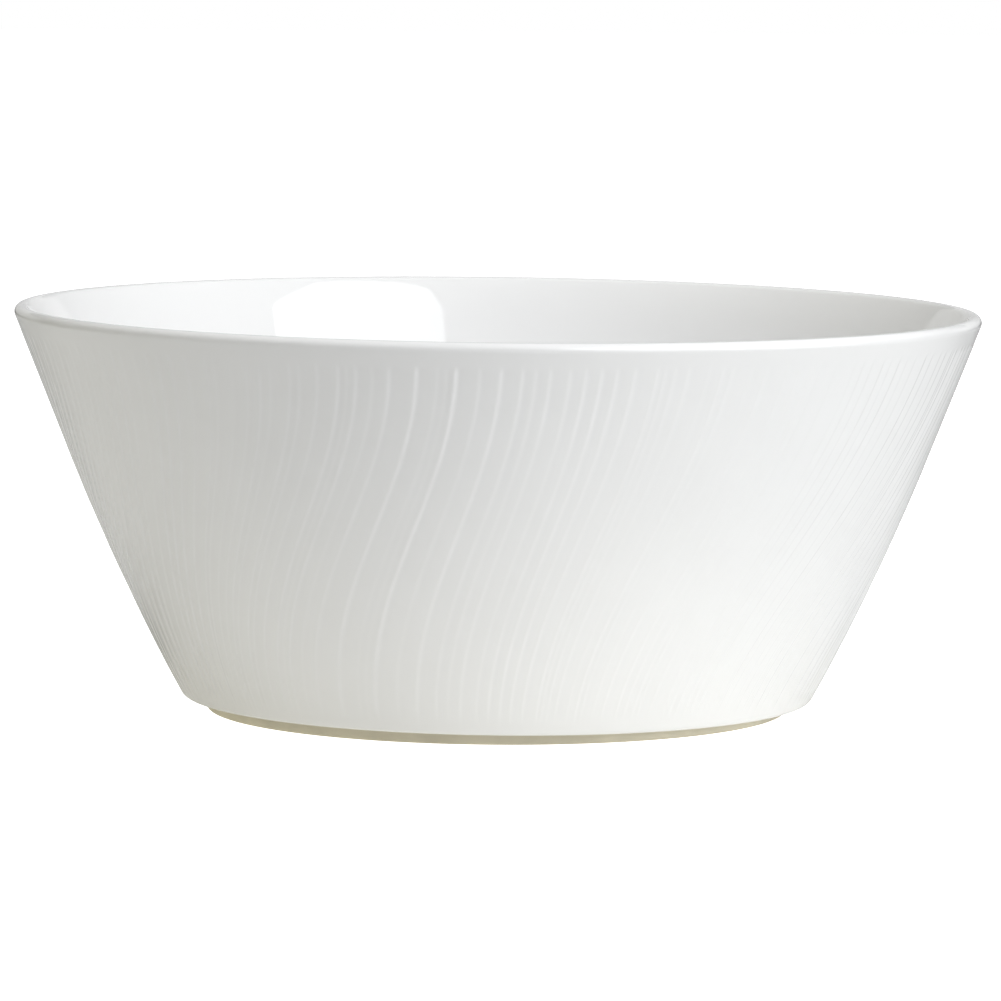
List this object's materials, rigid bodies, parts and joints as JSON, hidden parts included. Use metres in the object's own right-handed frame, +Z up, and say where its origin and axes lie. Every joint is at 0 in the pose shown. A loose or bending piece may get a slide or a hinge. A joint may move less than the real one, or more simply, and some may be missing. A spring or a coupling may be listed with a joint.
{
  "type": "serving bowl",
  "caption": "Wide, flared porcelain serving bowl with a slanting, finely ribbed outside, a smooth inside and lip, and a low bare foot ring.",
  "frame": {"origin": "middle of the circle that the foot ring stands on", "axes": "+Z up along the bowl's axis; the bowl is round, so +X and +Y are free"},
  "size_m": [0.24, 0.24, 0.1],
  "materials": {
    "fired_clay": "matt fired white clay, hidden under the glaze",
    "bare_foot": "matt, bare, fine-grained",
    "outer_glaze": "glossy white glaze over fine slanting ribs",
    "rim_glaze": "glossy white glaze, smooth",
    "inner_glaze": "glossy white glaze, smooth",
    "base_glaze": "glossy white glaze, smooth"
  },
  "bodies": {
    "root": {"porcelain_body": "fired_clay", "foot_ring": "bare_foot", "outer_glaze": "outer_glaze", "rim_glaze": "rim_glaze", "inner_glaze": "inner_glaze", "base_glaze": "base_glaze"}
  },
  "joints": []
}
